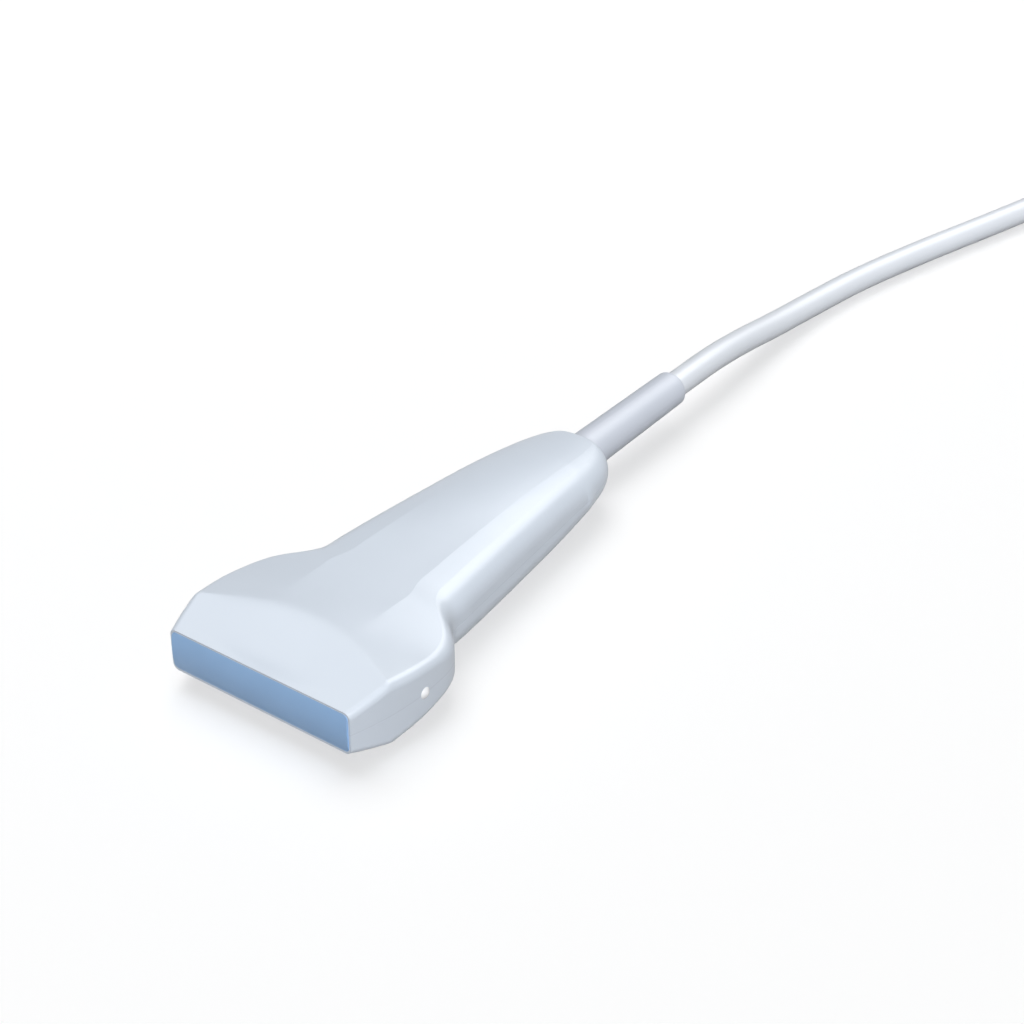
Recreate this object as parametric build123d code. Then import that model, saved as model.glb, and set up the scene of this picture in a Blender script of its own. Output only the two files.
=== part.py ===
from build123d import *
import math
import os

# Sizes in millimetres. X runs along the probe from the lens to the cable, Z is up, and the origin
# lies on the table under the middle of the handset. Handset distances count from the front of the
# nose, and its heights from the parting plane of the two shells.

# Nose of the housing
nose_front_width = 47.0
nose_front_height = 10.0
nose_bulge = 3.15
nose_peak = 19.0
nose_corner = 2.0
nose_edge_rounding = 1.6
nose_slope = 4.5
nose_rim_slope = 8.0
crest_distance = 16.0
crest_height = 18.0
shoulder_start = 28.5
shoulder_length = 11.0
rounding_start = 21.0
rounding_length = 20.0

# Handle of the housing
waist_distance = 37.0
scoop_end = 33.0
waist_height = 16.4
grip_distance = 68.0
grip_height = 18.0
handle_front_width = 37.2
handle_rear_width = 25.4
handle_rear_height = 15.0
handle_corner = 5.6
handle_slope = 11.0
handle_rim_slope = 18.0
panel_width = 21.0
panel_share = 0.5
panel_start = 17.0
panel_run_in = 10.0
panel_fade = 44.0
panel_run_out = 30.0
panel_slope = 1.0
panel_edge_slope = 8.5
panel_rim_slope = 11.5
tail_start = 93.5
tail_length = 14.0
tail_end_width = 15.0
tail_end_height = 11.4
shell_wall = 2.0
rear_wall = 4.0
seam_gap = 0.3
seam_recess = 0.02
fit_clearance = 0.1

# Acoustic stack
lens_rim = 0.5
lens_corner = 1.0
lens_depth = 2.6
lens_crown = 0.5
array_length = 39.0
array_height = 6.0
outer_matching_depth = 0.5
inner_matching_depth = 0.4
piezo_depth = 0.6
backing_depth = 9.0
frame_gap = 0.4
frame_depth = 9.0

# Interconnect boards and flexible circuits
board_front = 42.0
board_length = 38.0
board_width = 20.0
board_thickness = 1.0
board_gap = 3.0
spacer_diameter = 3.0
post_diameter = 3.6
post_front = 52.0
post_margin = 4.0
post_spread = 15.0
flex_thickness = 0.25
flex_board_width = 17.0
flex_overlap = 5.0
socket_length = 4.5
socket_height = 1.5
socket_width = 18.5

# Cable end, boot and clamp in the tail
cable_diameter = 6.4
boot_length = 38.0
boot_base_diameter = 11.0
boot_front_diameter = 9.2
boot_end_diameter = 8.6
boot_flare = 5.0
boot_end_rounding = 0.9
boot_neck_diameter = 8.4
boot_collar_diameter = 10.0
boot_collar_depth = 2.0
clamp_length = 7.5
clamp_split = 0.4
clamp_screw_diameter = 1.6
clamp_screw_length = 7.0
clamp_screw_spread = 14.0
clamp_screw_head = 1.2
ferrule_length = 4.0
ferrule_wall = 0.8
fanout_width = 16.0
fanout_depth = 8.0
fanout_end = 5.0

# Orientation marker on the side of the nose
marker_distance = 19.0
marker_diameter = 2.6
marker_height = 0.6
marker_stem_diameter = 1.6
marker_stem_length = 1.2

# Put-away cable, folded into a hank and tied
hank_rows = 2
hank_layers = 3
hank_fold_diameter = 38.4
hank_straight = 64.0
hank_start = 318.5
hank_side = -0.3
hank_stub = 18.0
tie_width = 14.0
tie_thickness = 1.2

# System connector
plug_start = 482.5
plug_side = -6.0
plug_body_length = 58.0
plug_width = 42.0
plug_height = 26.0
plug_corner = 5.0
plug_edge = 2.0
plug_wall = 2.2
plug_boot_length = 18.0
plug_boot_base_diameter = 12.6
plug_boot_end_diameter = 9.2
plug_neck_diameter = 10.0
plug_collar_diameter = 13.0
plug_collar_depth = 2.0
plug_stub_length = 8.0
shroud_length = 12.0
shroud_width = 29.0
shroud_height = 12.0
shroud_wall = 1.0
shroud_flange = 1.5
contact_rows = 2
contact_columns = 10
contact_pitch = 2.54
contact_side = 0.8
contact_length = 4.5
contact_tail = 5.0
contact_block_depth = 5.0
contact_clearance = 0.02
plug_board_length = 32.0
plug_board_width = 26.0
plug_board_thickness = 1.6
plug_post_diameter = 4.0
plug_post_spread = 20.0
plug_post_inset = 4.0
plug_screw_diameter = 2.4
plug_screw_length = 14.0
plug_screw_head_diameter = 4.4
plug_screw_head_depth = 1.6
plug_screw_spread = 32.0
plug_screw_first = 12.0
plug_screw_second = 40.0
plug_boss_diameter = 5.2

# Quarter-turn lock of the connector
lock_inset = 9.0
shaft_diameter = 5.0
running_clearance = 0.05
bush_wall = 1.5
bush_flange = 1.5
bush_flange_depth = 0.5
cam_thickness = 2.2
cam_gap = 0.5
cam_hub_diameter = 12.0
cam_tip_diameter = 8.0
cam_reach = 13.0
cam_slot_margin = 0.7
knob_gap = 0.4
knob_diameter = 22.0
knob_plate = 3.0
knob_grip_height = 5.0
knob_grip_width = 6.0
knob_cap = 2.0

# Cable route on the table, between the boot, the hank and the connector
lead_points = [
    (90.0, 0.0, 9.0),
    (110.0, 1.6, 4.2),
    (133.0, 0.8, 3.3),
    (157.0, -3.0, 3.3),
    (182.0, -9.2, 3.3),
    (208.0, -16.6, 3.3),
    (231.0, -22.7, 3.4),
    (265.0, -22.7, 4.5),
]
tail_points = [
    (421.5, -22.7, 17.3),
    (441.5, -15.0, 12.0),
    (461.5, -6.0, 13.0),
]

# Places that follow from the sizes above
tail_end = tail_start + tail_length
boot_end = tail_end + boot_length
rest_height = max(crest_height, grip_height) / 2
handset_shift = Pos((lens_crown - boot_end) / 2, 0, rest_height)
cable_radius = cable_diameter / 2
collar_front = tail_end - rear_wall - boot_collar_depth
clamp_rear = collar_front - fit_clearance
clamp_front = clamp_rear - clamp_length
stub_front = clamp_front - ferrule_length - fit_clearance
board_rear = board_front + board_length
board_top = board_gap / 2 + board_thickness
fanout_front = board_rear - fanout_depth
post_rear = fanout_front - post_margin
frame_front = lens_depth + outer_matching_depth + inner_matching_depth + piezo_depth + frame_gap


def smooth(u):
    """Ease from 0 to 1 with a level start and end."""
    u = min(max(u, 0.0), 1.0)
    return u * u * (3 - 2 * u)


def spread(start, end, count):
    """Evenly spaced places from start to end, both included."""
    return [start + (end - start) * i / (count - 1) for i in range(count)]


def tail_factor(x):
    """Quarter ellipse that closes the tail, 1 at its start and 0 at its end."""
    u = min(max((x - tail_start) / tail_length, 0.0), 1.0)
    return math.sqrt(1 - u * u)


def shoulder_blend(x):
    """0 on the nose and 1 on the handle."""
    return smooth((x - shoulder_start) / shoulder_length)


def taper_at(x):
    """Half the width of the handle: a straight taper from the waist to its end."""
    along = (x - waist_distance) / (tail_start - waist_distance)
    return (handle_front_width + (handle_rear_width - handle_front_width) * along) / 2


def swell_at(x):
    """Height of the handle: it swells from the waist to the grip and falls off towards its end."""
    swell = smooth((x - waist_distance) / (grip_distance - waist_distance))
    along = max((x - grip_distance) / (tail_start - grip_distance), 0.0)
    fall = along ** 2 if along < 1 else 2 * along - 1
    return waist_height + (grip_height - waist_height) * swell + (handle_rear_height - grip_height) * fall


def half_width_at(x):
    """Half the width of the housing: an arc along the nose, then the handle and the closing tail."""
    nose = nose_front_width / 2 + nose_bulge * (1 - (1 - x / nose_peak) ** 2)
    closing = (taper_at(tail_end) - tail_end_width / 2) * (1 - tail_factor(x))
    return nose + (taper_at(x) - nose) * shoulder_blend(x) - closing


def half_height_at(x):
    """Half the height: a scoop behind the crest of the nose, then the handle and the closing tail."""
    scoop = max(1 - (x - crest_distance) / (scoop_end - crest_distance), 0.0) ** 2
    closing = (swell_at(tail_end) - tail_end_height) * (1 - tail_factor(x))
    return (swell_at(x) + (crest_height - waist_height) * scoop - closing) / 2


def slope_at(x, nose, panel, handle):
    """Fall of the top towards the side: from its nose value to the panel's, then to the handle's."""
    onto_panel = smooth((x - panel_start) / panel_run_in)
    off_panel = smooth((x - panel_fade) / panel_run_out)
    return math.tan(math.radians(nose + (panel - nose) * onto_panel + (handle - panel) * off_panel))


def half_section(x, inset=0.0):
    """Upper half of the housing's cross-section at x: a panel on top, a skirt beside it that falls
    towards the side, and a rounded corner. It is inset all round for the cavity and the seal."""
    half_width = half_width_at(x) - inset
    half_height = half_height_at(x) - inset
    panel_side = min(panel_width / 2, panel_share * half_width_at(x))
    panel_fall = slope_at(x, nose_slope, panel_slope, handle_slope)
    skirt_fall = slope_at(x, nose_slope + panel_slope, panel_edge_slope, handle_slope + panel_slope)
    rim_fall = slope_at(x, nose_rim_slope, panel_rim_slope, handle_rim_slope)
    panel_drop = panel_fall * panel_side / 2
    mean_fall = (skirt_fall + rim_fall) / 2
    lean = math.atan(rim_fall)
    corner = nose_corner + (handle_corner - nose_corner) * smooth((x - rounding_start) / rounding_length)
    side_height = half_height - panel_drop - mean_fall * (half_width - panel_side)
    tallest = 0.9 * side_height / (math.cos(lean) - mean_fall * (1 - math.sin(lean)))
    widest = 0.8 * (half_width - panel_side) / (1 - math.sin(lean))
    corner = min(max(corner - inset, nose_corner / 3), tallest, widest)
    skirt = half_width - corner * (1 - math.sin(lean)) - panel_side
    panel_edge = (panel_side, half_height - panel_drop)
    rim = (panel_side + skirt, panel_edge[1] - mean_fall * skirt)
    skirt_middle = (panel_side + skirt / 2, panel_edge[1] - (3 * skirt_fall + rim_fall) * skirt / 8)
    corner_z = rim[1] - corner * math.cos(lean)
    bend = math.pi / 4 - lean / 2
    corner_middle = (half_width - corner + corner * math.cos(bend), corner_z + corner * math.sin(bend))
    right = [
        Line((half_width, 0), (half_width, corner_z)),
        ThreePointArc((half_width, corner_z), corner_middle, rim),
        ThreePointArc(rim, skirt_middle, panel_edge),
    ]
    left = [edge.mirror(Plane.YZ) for edge in right]
    panel = ThreePointArc(panel_edge, (0, half_height), (-panel_edge[0], panel_edge[1]))
    base = Line((-half_width, 0), (half_width, 0))
    return Plane.YZ.offset(x) * make_face([*right, panel, *left, base])


def loft_half(places, inset):
    """Upper half of the housing between the given places, inset all round."""
    return loft([half_section(x, inset) for x in places])


def above_facet(inset):
    """What the flat facet between the lens and the crest cuts off the nose, inset into it."""
    slope = math.atan2((crest_height - nose_front_height) / 2, crest_distance)
    cutter = Pos(0, 0, tail_start / 2) * Box(2 * tail_start, 2 * nose_front_width, tail_start)
    front_height = nose_front_height / 2 - inset / math.cos(slope)
    return Pos(0, 0, front_height) * Rot(0, -math.degrees(slope), 0) * cutter


def housing_half(inset, front, rear):
    """Upper half of the housing as one solid: the nose and handle, the tail and the nose's facet."""
    closing = math.asin((rear - tail_start) / tail_length)
    body = loft_half(spread(front, tail_start, 25), inset)
    tail_places = [tail_start + tail_length * math.sin(turn) for turn in spread(0, closing, 7)]
    return body + loft_half(tail_places, inset) - above_facet(inset)


def round_facet(half):
    """Round the facet's edges at the sides and along the crest."""
    facet = half.faces().filter_by(GeomType.PLANE).sort_by(Axis.Z)[-1]
    return half.fillet(nose_edge_rounding, facet.edges().sort_by(Axis.X)[1:])


def both_halves(half):
    """A piece that is the same above and below the parting plane."""
    return half + mirror(half, Plane.XY)


def block(front, rear, width, bottom, top, side=0.0):
    """Box from front to rear, centred on the given side line."""
    box = Box(rear - front, width, top - bottom)
    return Pos((front + rear) / 2, side, (bottom + top) / 2) * box


def rod(front, rear, diameter):
    """Cylinder along X."""
    return Pos((front + rear) / 2, 0, 0) * Rot(0, 90, 0) * Cylinder(diameter / 2, rear - front)


def post(x, y, bottom, top, diameter):
    """Cylinder along Z."""
    return Pos(x, y, (bottom + top) / 2) * Cylinder(diameter / 2, top - bottom)


def lens_blank(front, rear, clearance):
    """The lens's outline as a straight prism from front to rear."""
    width = nose_front_width - 2 * lens_rim - clearance
    height = nose_front_height - 2 * lens_rim - clearance
    return Pos(front, 0, 0) * extrude(Plane.YZ * RectangleRounded(width, height, lens_corner), rear - front)


# Housing shells: hollow halves with the lens pocket, the boot's hole and posts for the boards
outer = round_facet(housing_half(0.0, 0.0, tail_end))
cavity = housing_half(shell_wall, lens_depth, tail_end - rear_wall)
lens_pocket = lens_blank(0.0, lens_depth, 0.0)
boot_hole = rod(tail_end - 2 * rear_wall, tail_end + rear_wall, boot_neck_diameter + fit_clearance)
collar_room_diameter = boot_collar_diameter + fit_clearance
collar_room = rod(collar_front - fit_clearance, tail_end - rear_wall, collar_room_diameter)
marker_seat = half_width_at(marker_distance) - marker_stem_length
marker_hole = Cylinder((marker_stem_diameter + fit_clearance) / 2, 4 * marker_stem_length)
marker_hole = Pos(marker_distance, -marker_seat - 2 * marker_stem_length, 0) * Rot(90, 0, 0) * marker_hole
openings = cavity + lens_pocket + boot_hole + collar_room + marker_hole
post_places = [(x, y * post_spread / 2) for x in (post_front, post_rear) for y in (-1, 1)]
posts = [post(x, y, board_top, crest_height, post_diameter) & outer for x, y in post_places]
below_seam = block(-lens_crown, tail_end + lens_crown, 2 * nose_front_width, -seam_gap, seam_gap / 2)
upper_shell = outer - openings - below_seam
for shell_post in posts:
    upper_shell += shell_post
lower_shell = mirror(upper_shell, Plane.XY)

# Seal strips that fill the parting line on both sides
seal_ring = housing_half(seam_recess, 0.0, tail_end) - openings
seal_faces = [face for face in seal_ring.faces() if abs(face.center().Z) < 1e-6]
seal_strips = [extrude(face, seam_gap / 2, both=True) for face in seal_faces]
right_seal, left_seal = sorted(seal_strips, key=lambda strip: strip.center().Y)

# Acoustic lens with a gently crowned face
lens_half_height = nose_front_height / 2 - lens_rim
lens_radius = (lens_half_height ** 2 + lens_crown ** 2) / (2 * lens_crown)
lens_face = Pos(lens_radius - lens_crown, 0, 0) * Rot(90, 0, 0) * Cylinder(lens_radius, 2 * nose_front_width)
acoustic_lens = lens_blank(-lens_crown, lens_depth, fit_clearance) & lens_face

# Acoustic stack behind the lens
layer_edges = [lens_depth]
for depth in (outer_matching_depth, inner_matching_depth, piezo_depth, backing_depth):
    layer_edges.append(layer_edges[-1] + depth)
stack_top = array_height / 2
layers = [
    block(front, rear, array_length, -stack_top, stack_top)
    for front, rear in zip(layer_edges, layer_edges[1:])
]
outer_matching_layer, inner_matching_layer, piezo_array, backing_block = layers

# Carrier that fits the nose cavity and holds the stack
frame_rear = frame_front + frame_depth
carrier_inset = shell_wall + fit_clearance
carrier_half = loft_half(spread(frame_front, frame_rear, 4), carrier_inset)
carrier = both_halves(carrier_half - above_facet(carrier_inset))
stack_room = stack_top + flex_thickness + fit_clearance
window = block(0, 2 * frame_rear, array_length + 2 * fit_clearance, -stack_room, stack_room)
array_frame = carrier - window

# Boards with their spacers
upper_board = block(board_front, board_rear, board_width, board_gap / 2, board_top)
lower_board = mirror(upper_board, Plane.XY)
board_spacers = Compound(children=[
    post(x, y, -board_gap / 2, board_gap / 2, spacer_diameter) for x, y in post_places
])

# Flexible circuits: along the backing block, then down to the board
flex_start = layer_edges[3]
flex_path = [
    (flex_start, stack_top),
    (frame_rear, stack_top),
    (board_front, board_top),
    (board_front + flex_overlap, board_top),
]
flex_rise = [(x, z + flex_thickness) for x, z in reversed(flex_path)]
flex_profile = Plane.XZ * make_face(Polyline(*flex_path, *flex_rise, close=True))
flex_band = extrude(flex_profile, array_length, both=True)
flex_plan = [
    (flex_start, array_length / 2),
    (frame_rear, array_length / 2),
    (board_front, flex_board_width / 2),
    (board_front + flex_overlap, flex_board_width / 2),
]
flex_mirror = [(x, -y) for x, y in reversed(flex_plan)]
flex_shape = extrude(make_face(Polyline(*flex_plan, *flex_mirror, close=True)), crest_height)
upper_flex = flex_band & flex_shape
lower_flex = mirror(upper_flex, Plane.XY)
socket_rear = board_front + flex_overlap + fit_clearance + flex_thickness
socket = block(socket_rear - socket_length, socket_rear, socket_width, board_top, board_top + socket_height)
socket_slot = block(
    board_front,
    board_front + flex_overlap + fit_clearance,
    flex_board_width + 2 * fit_clearance,
    board_top - fit_clearance,
    board_top + flex_thickness + fit_clearance,
)
upper_flex_socket = socket - socket_slot
lower_flex_socket = mirror(upper_flex_socket, Plane.XY)


def wire_fanout(front, board_edge, rear, width, height, end):
    """Bundle of fine wires: flat between or against the boards, gathered round at the cable."""
    flat = block(front, board_edge, width, -height / 2, height / 2)
    first = Plane.YZ.offset(board_edge) * RectangleRounded(width, height, height / 3)
    last = Plane.YZ.offset(rear) * RectangleRounded(end, end, end / 3)
    return flat + loft([first, last])


# Cable end: fanned-out wires, jacket, crimp ring, clamp and boot
coax_fanout = wire_fanout(fanout_front, board_rear, stub_front, fanout_width, board_gap, fanout_end)
cable_stub = rod(stub_front, boot_end, cable_diameter)
ferrule_bore = rod(stub_front, stub_front + ferrule_length, cable_diameter + contact_clearance)
braid_ferrule = rod(stub_front, stub_front + ferrule_length, cable_diameter + 2 * ferrule_wall) - ferrule_bore
clamp_blank = loft_half(spread(clamp_front, clamp_rear, 5), shell_wall + fit_clearance)
clamp_parting = block(0, boot_end, handle_front_width, -clamp_split, clamp_split / 2)
clamp_center = (clamp_front + clamp_rear) / 2
clamp_screw_places = [(clamp_center, side * clamp_screw_spread / 2) for side in (-1, 1)]
screw_top = clamp_screw_length / 2


def clamp_screw(x, y, extra):
    """Clamp screw with its head on top, or its hole where extra is the clearance."""
    shank = post(x, y, -screw_top, screw_top, clamp_screw_diameter + extra)
    head = post(x, y, screw_top - clamp_screw_head, screw_top, 1.7 * clamp_screw_diameter + extra)
    return shank + head


upper_clamp = clamp_blank - clamp_parting - rod(0, boot_end, cable_diameter + contact_clearance)
lower_clamp = mirror(upper_clamp, Plane.XY)
for x, y in clamp_screw_places:
    upper_clamp -= clamp_screw(x, y, fit_clearance)
    upper_clamp -= post(x, y, screw_top, crest_height, 1.7 * clamp_screw_diameter + fit_clearance)
    lower_clamp -= post(x, y, -screw_top, screw_top, clamp_screw_diameter + fit_clearance)
clamp_screws = Compound(children=[clamp_screw(x, y, 0.0) for x, y in clamp_screw_places])


def boot(front, rear, neck_depth, base, near_base, end, neck, collar, collar_depth):
    """Strain relief turned about X: a collar and a neck in the wall, a flare and a long taper."""
    step = 1 if rear > front else -1
    bore = (cable_diameter + contact_clearance) / 2
    inside = front - step * neck_depth
    flare = front + step * boot_flare
    profile = [
        Polyline(
            (rear, bore),
            (inside - step * collar_depth, bore),
            (inside - step * collar_depth, collar / 2),
            (inside, collar / 2),
            (inside, neck / 2),
            (front, neck / 2),
            (front, base / 2),
        ),
        Spline(
            (front, base / 2),
            (flare, near_base / 2),
            tangents=[(step, -1.2), (rear - front - step * boot_flare, (end - near_base) / 2)],
        ),
        Line((flare, near_base / 2), (rear - step * boot_end_rounding, end / 2)),
        ThreePointArc(
            (rear - step * boot_end_rounding, end / 2),
            (rear - step * 0.293 * boot_end_rounding, end / 2 - 0.293 * boot_end_rounding),
            (rear, end / 2 - boot_end_rounding),
        ),
        Line((rear, end / 2 - boot_end_rounding), (rear, bore)),
    ]
    return revolve(Plane.XZ * make_face(profile), Axis.X)


strain_relief_boot = boot(
    tail_end, boot_end, rear_wall, boot_base_diameter, boot_front_diameter, boot_end_diameter,
    boot_neck_diameter, boot_collar_diameter, boot_collar_depth,
)

# Orientation marker: a low dome with a stem in the side wall
marker_radius = marker_diameter / 2
dome_radius = (marker_radius ** 2 + marker_height ** 2) / (2 * marker_height)
dome = Pos(0, 0, marker_height - dome_radius) * Sphere(dome_radius)
dome &= Pos(0, 0, marker_height / 2) * Cylinder(marker_radius, marker_height)
stem = Pos(0, 0, -marker_stem_length / 2) * Cylinder(marker_stem_diameter / 2, marker_stem_length)
marker_place = Pos(marker_distance, -half_width_at(marker_distance), 0) * Rot(90, 0, 0)
orientation_marker = marker_place * (dome + stem)

handset = {
    "upper_shell": upper_shell,
    "lower_shell": lower_shell,
    "left_seal": left_seal,
    "right_seal": right_seal,
    "acoustic_lens": acoustic_lens,
    "outer_matching_layer": outer_matching_layer,
    "inner_matching_layer": inner_matching_layer,
    "piezo_array": piezo_array,
    "backing_block": backing_block,
    "array_frame": array_frame,
    "upper_flex": upper_flex,
    "lower_flex": lower_flex,
    "upper_board": upper_board,
    "lower_board": lower_board,
    "board_spacers": board_spacers,
    "upper_flex_socket": upper_flex_socket,
    "lower_flex_socket": lower_flex_socket,
    "coax_fanout": coax_fanout,
    "cable_stub": cable_stub,
    "braid_ferrule": braid_ferrule,
    "upper_clamp": upper_clamp,
    "lower_clamp": lower_clamp,
    "clamp_screws": clamp_screws,
    "strain_relief_boot": strain_relief_boot,
    "orientation_marker": orientation_marker,
}

# Put-away cable: loops folded into a hank, with a straight stub at each end that meets the cable
hank_bottom = tie_thickness + fit_clearance
hank_height = hank_layers * cable_diameter
hank_width = hank_fold_diameter + hank_rows * cable_diameter
hank_slot = hank_fold_diameter - hank_rows * cable_diameter
hank_end = hank_start + hank_straight
hank_middle = (hank_start + hank_end) / 2
outer_leg = hank_side - hank_fold_diameter / 2 - (hank_rows - 1) * cable_diameter / 2
first_layer = hank_bottom + cable_radius
last_layer = hank_bottom + hank_height - cable_radius
loops = extrude(SlotCenterToCenter(hank_straight, hank_width), hank_height)
loop_edges = loops.edges().group_by(Axis.Z)
loops = loops.fillet(0.9 * cable_radius, loop_edges[0] + loop_edges[-1])
loops -= extrude(SlotCenterToCenter(hank_straight, hank_slot), hank_height)
entry_stub = Pos(0, outer_leg, first_layer) * rod(hank_start - hank_stub, hank_start, cable_diameter)
exit_stub = Pos(0, outer_leg, last_layer) * rod(hank_end, hank_end + hank_stub, cable_diameter)
cable_hank = Pos(hank_middle, hank_side, hank_bottom) * loops + entry_stub + exit_stub

# Tie round the hank
tie_plane = Plane.YZ.offset(hank_middle - tie_width / 2)
tie_height = hank_height + 2 * fit_clearance
tie_hole = RectangleRounded(hank_width + 2 * fit_clearance, tie_height, cable_radius / 2)
tie_band = RectangleRounded(
    hank_width + 2 * fit_clearance + 2 * tie_thickness,
    tie_height + 2 * tie_thickness,
    cable_radius / 2 + tie_thickness,
)
tie_center = Pos(0, hank_side, tie_thickness + tie_height / 2)
hank_tie = tie_center * extrude(tie_plane * (tie_band - tie_hole), tie_width)


def cable_run(points):
    """Round cable along straight runs joined by the largest arcs that fit."""
    corners = [Vector(*p) for p in points]
    radii = []
    for before, here, after in zip(corners, corners[1:], corners[2:]):
        turn = math.radians((here - before).get_angle(after - here))
        shorter = min((here - before).length, (after - here).length)
        radii.append(0.45 * shorter / math.tan(turn / 2))
    path = FilletPolyline(*points, radius=radii)
    section = Plane(origin=path @ 0, z_dir=path % 0) * Circle(cable_radius)
    tube = sweep(section, path)
    print("cable radii", [round(r, 1) for r in radii], "length", round(path.length, 1))
    print("tube volume over section times length", tube.volume / (math.pi * cable_radius ** 2 * path.length))
    return tube


lead_start = (handset_shift.position.X + boot_end, 0, rest_height)
lead_end = (hank_start - hank_stub, outer_leg, first_layer)
tail_start_point = (hank_end + hank_stub, outer_leg, last_layer)
tail_end_point = (plug_start, plug_side, plug_height / 2)
cable_lead = cable_run([lead_start, *lead_points, lead_end])
cable_tail = cable_run([tail_start_point, *tail_points, tail_end_point])

# Connector, along its own X from the cable to the contacts, with heights from its parting plane
plug_place = Pos(plug_start, plug_side, plug_height / 2)
body_rear = plug_boot_length
body_front = body_rear + plug_body_length
inner_front = body_front - plug_wall
plug_top = plug_height / 2
ceiling = plug_top - plug_wall


def plug_slab(inset, bottom, top):
    """The connector's plan outline, inset all round, from bottom to top."""
    outline = RectangleRounded(plug_body_length - 2 * inset, plug_width - 2 * inset, plug_corner - inset)
    return Pos((body_rear + body_front) / 2, 0, bottom) * extrude(outline, top - bottom)


def plug_half():
    """Upper half of the connector's case, with the openings for the boot and the contact frame."""
    half = plug_slab(0.0, 0.0, plug_top)
    half = half.fillet(plug_edge, half.faces().sort_by(Axis.Z)[-1].edges())
    half -= plug_slab(plug_wall, 0.0, ceiling)
    half -= rod(body_rear - plug_wall, body_rear + 2 * plug_wall, plug_neck_diameter + fit_clearance)
    opening_height = shroud_height + fit_clearance
    opening = block(0, 2 * plug_wall, shroud_width + fit_clearance, -opening_height / 2, opening_height / 2)
    return half - Pos(inner_front - plug_wall / 2, 0, 0) * opening


screw_places = [
    (body_rear + x, side * plug_screw_spread / 2)
    for x in (plug_screw_first, plug_screw_second)
    for side in (-1, 1)
]
board_end = inner_front - shroud_flange - contact_block_depth / 2
board_start = board_end - plug_board_length
plug_post_places = [
    (x, side * plug_post_spread / 2)
    for x in (board_start + plug_post_inset, board_end - 3 * plug_post_inset)
    for side in (-1, 1)
]
plug_board_top = plug_board_thickness / 2

# Case halves with screw bosses and posts for the board
plug_cover = plug_half()
plug_base = mirror(plug_cover, Plane.XY)
for x, y in screw_places:
    plug_cover += post(x, y, 0.0, ceiling, plug_boss_diameter)
    plug_base += post(x, y, -ceiling, 0.0, plug_boss_diameter)
for x, y in plug_post_places:
    plug_base += post(x, y, -ceiling, -plug_board_top, plug_post_diameter)
for x, y in plug_post_places[:2]:
    plug_cover += post(x, y, plug_board_top, ceiling, plug_post_diameter)


def plug_screw(x, y, extra):
    """Case screw with its head at the bottom, or its hole where extra is the clearance."""
    seat = -plug_top + plug_wall / 2
    shank = post(x, y, seat, seat + plug_screw_length, plug_screw_diameter + extra)
    head = post(x, y, seat, seat + plug_screw_head_depth, plug_screw_head_diameter + extra)
    return shank + head


plug_screws = Compound(children=[plug_screw(x, y, 0.0) for x, y in screw_places])
for x, y in screw_places:
    plug_base -= plug_screw(x, y, fit_clearance)
    head_room = plug_screw_head_diameter + fit_clearance
    plug_base -= post(x, y, -plug_top - plug_wall, -plug_top + plug_wall, head_room)
    plug_cover -= plug_screw(x, y, fit_clearance)

# Strain relief, cable end and wires of the connector
plug_boot = boot(
    body_rear, 0.0, plug_wall, plug_boot_base_diameter,
    (plug_boot_base_diameter + plug_boot_end_diameter) / 2, plug_boot_end_diameter,
    plug_neck_diameter, plug_collar_diameter, plug_collar_depth,
)
stub_end = body_rear + plug_wall + plug_collar_depth + plug_stub_length
plug_stub = rod(0.0, stub_end, cable_diameter)
plug_wires = loft([
    Plane.YZ.offset(stub_end) * RectangleRounded(fanout_end, fanout_end, fanout_end / 3),
    Plane.YZ.offset(board_start)
    * RectangleRounded(fanout_width, plug_board_thickness, plug_board_thickness / 3),
])

# Contact frame, insulating block, contacts and board
shroud_front = body_front + shroud_length
shroud_outline = RectangleRounded(shroud_width, shroud_height, 2 * shroud_wall)
shroud_bore = RectangleRounded(shroud_width - 2 * shroud_wall, shroud_height - 2 * shroud_wall, shroud_wall)
flange_outline = RectangleRounded(
    shroud_width + 2 * shroud_flange,
    shroud_height + 2 * shroud_flange,
    2 * shroud_wall,
)
flange_rear = inner_front - shroud_flange
shroud_tube = extrude(Plane.YZ.offset(inner_front) * shroud_outline, shroud_front - inner_front)
shroud_plate = extrude(Plane.YZ.offset(flange_rear) * flange_outline, shroud_flange)
shroud_room = extrude(Plane.YZ.offset(body_rear) * shroud_bore, plug_body_length + shroud_length)
plug_shroud = shroud_tube + shroud_plate - shroud_room
block_front = flange_rear + contact_block_depth
contact_room = 2 * contact_clearance
block_blank = RectangleRounded(
    shroud_width - 2 * shroud_wall - contact_room,
    shroud_height - 2 * shroud_wall - contact_room,
    shroud_wall,
)
contact_places = GridLocations(contact_pitch, contact_pitch, contact_columns, contact_rows)
contact_hole = Rectangle(contact_side + contact_room, contact_side + contact_room)
block_outline = block_blank - [place * contact_hole for place in contact_places]
contact_block = extrude(Plane.YZ.offset(flange_rear) * block_outline, contact_block_depth)
contact_start = flange_rear - contact_tail
contact_reach = contact_tail + contact_block_depth + contact_length
contact_bar = extrude(Rectangle(contact_side, contact_side), contact_reach)
contact_plane = Plane.YZ.offset(contact_start)
contact_pins = Compound(children=[contact_plane * place * contact_bar for place in contact_places])
plug_board = block(board_start, board_end, plug_board_width, -plug_board_top, plug_board_top)

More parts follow.
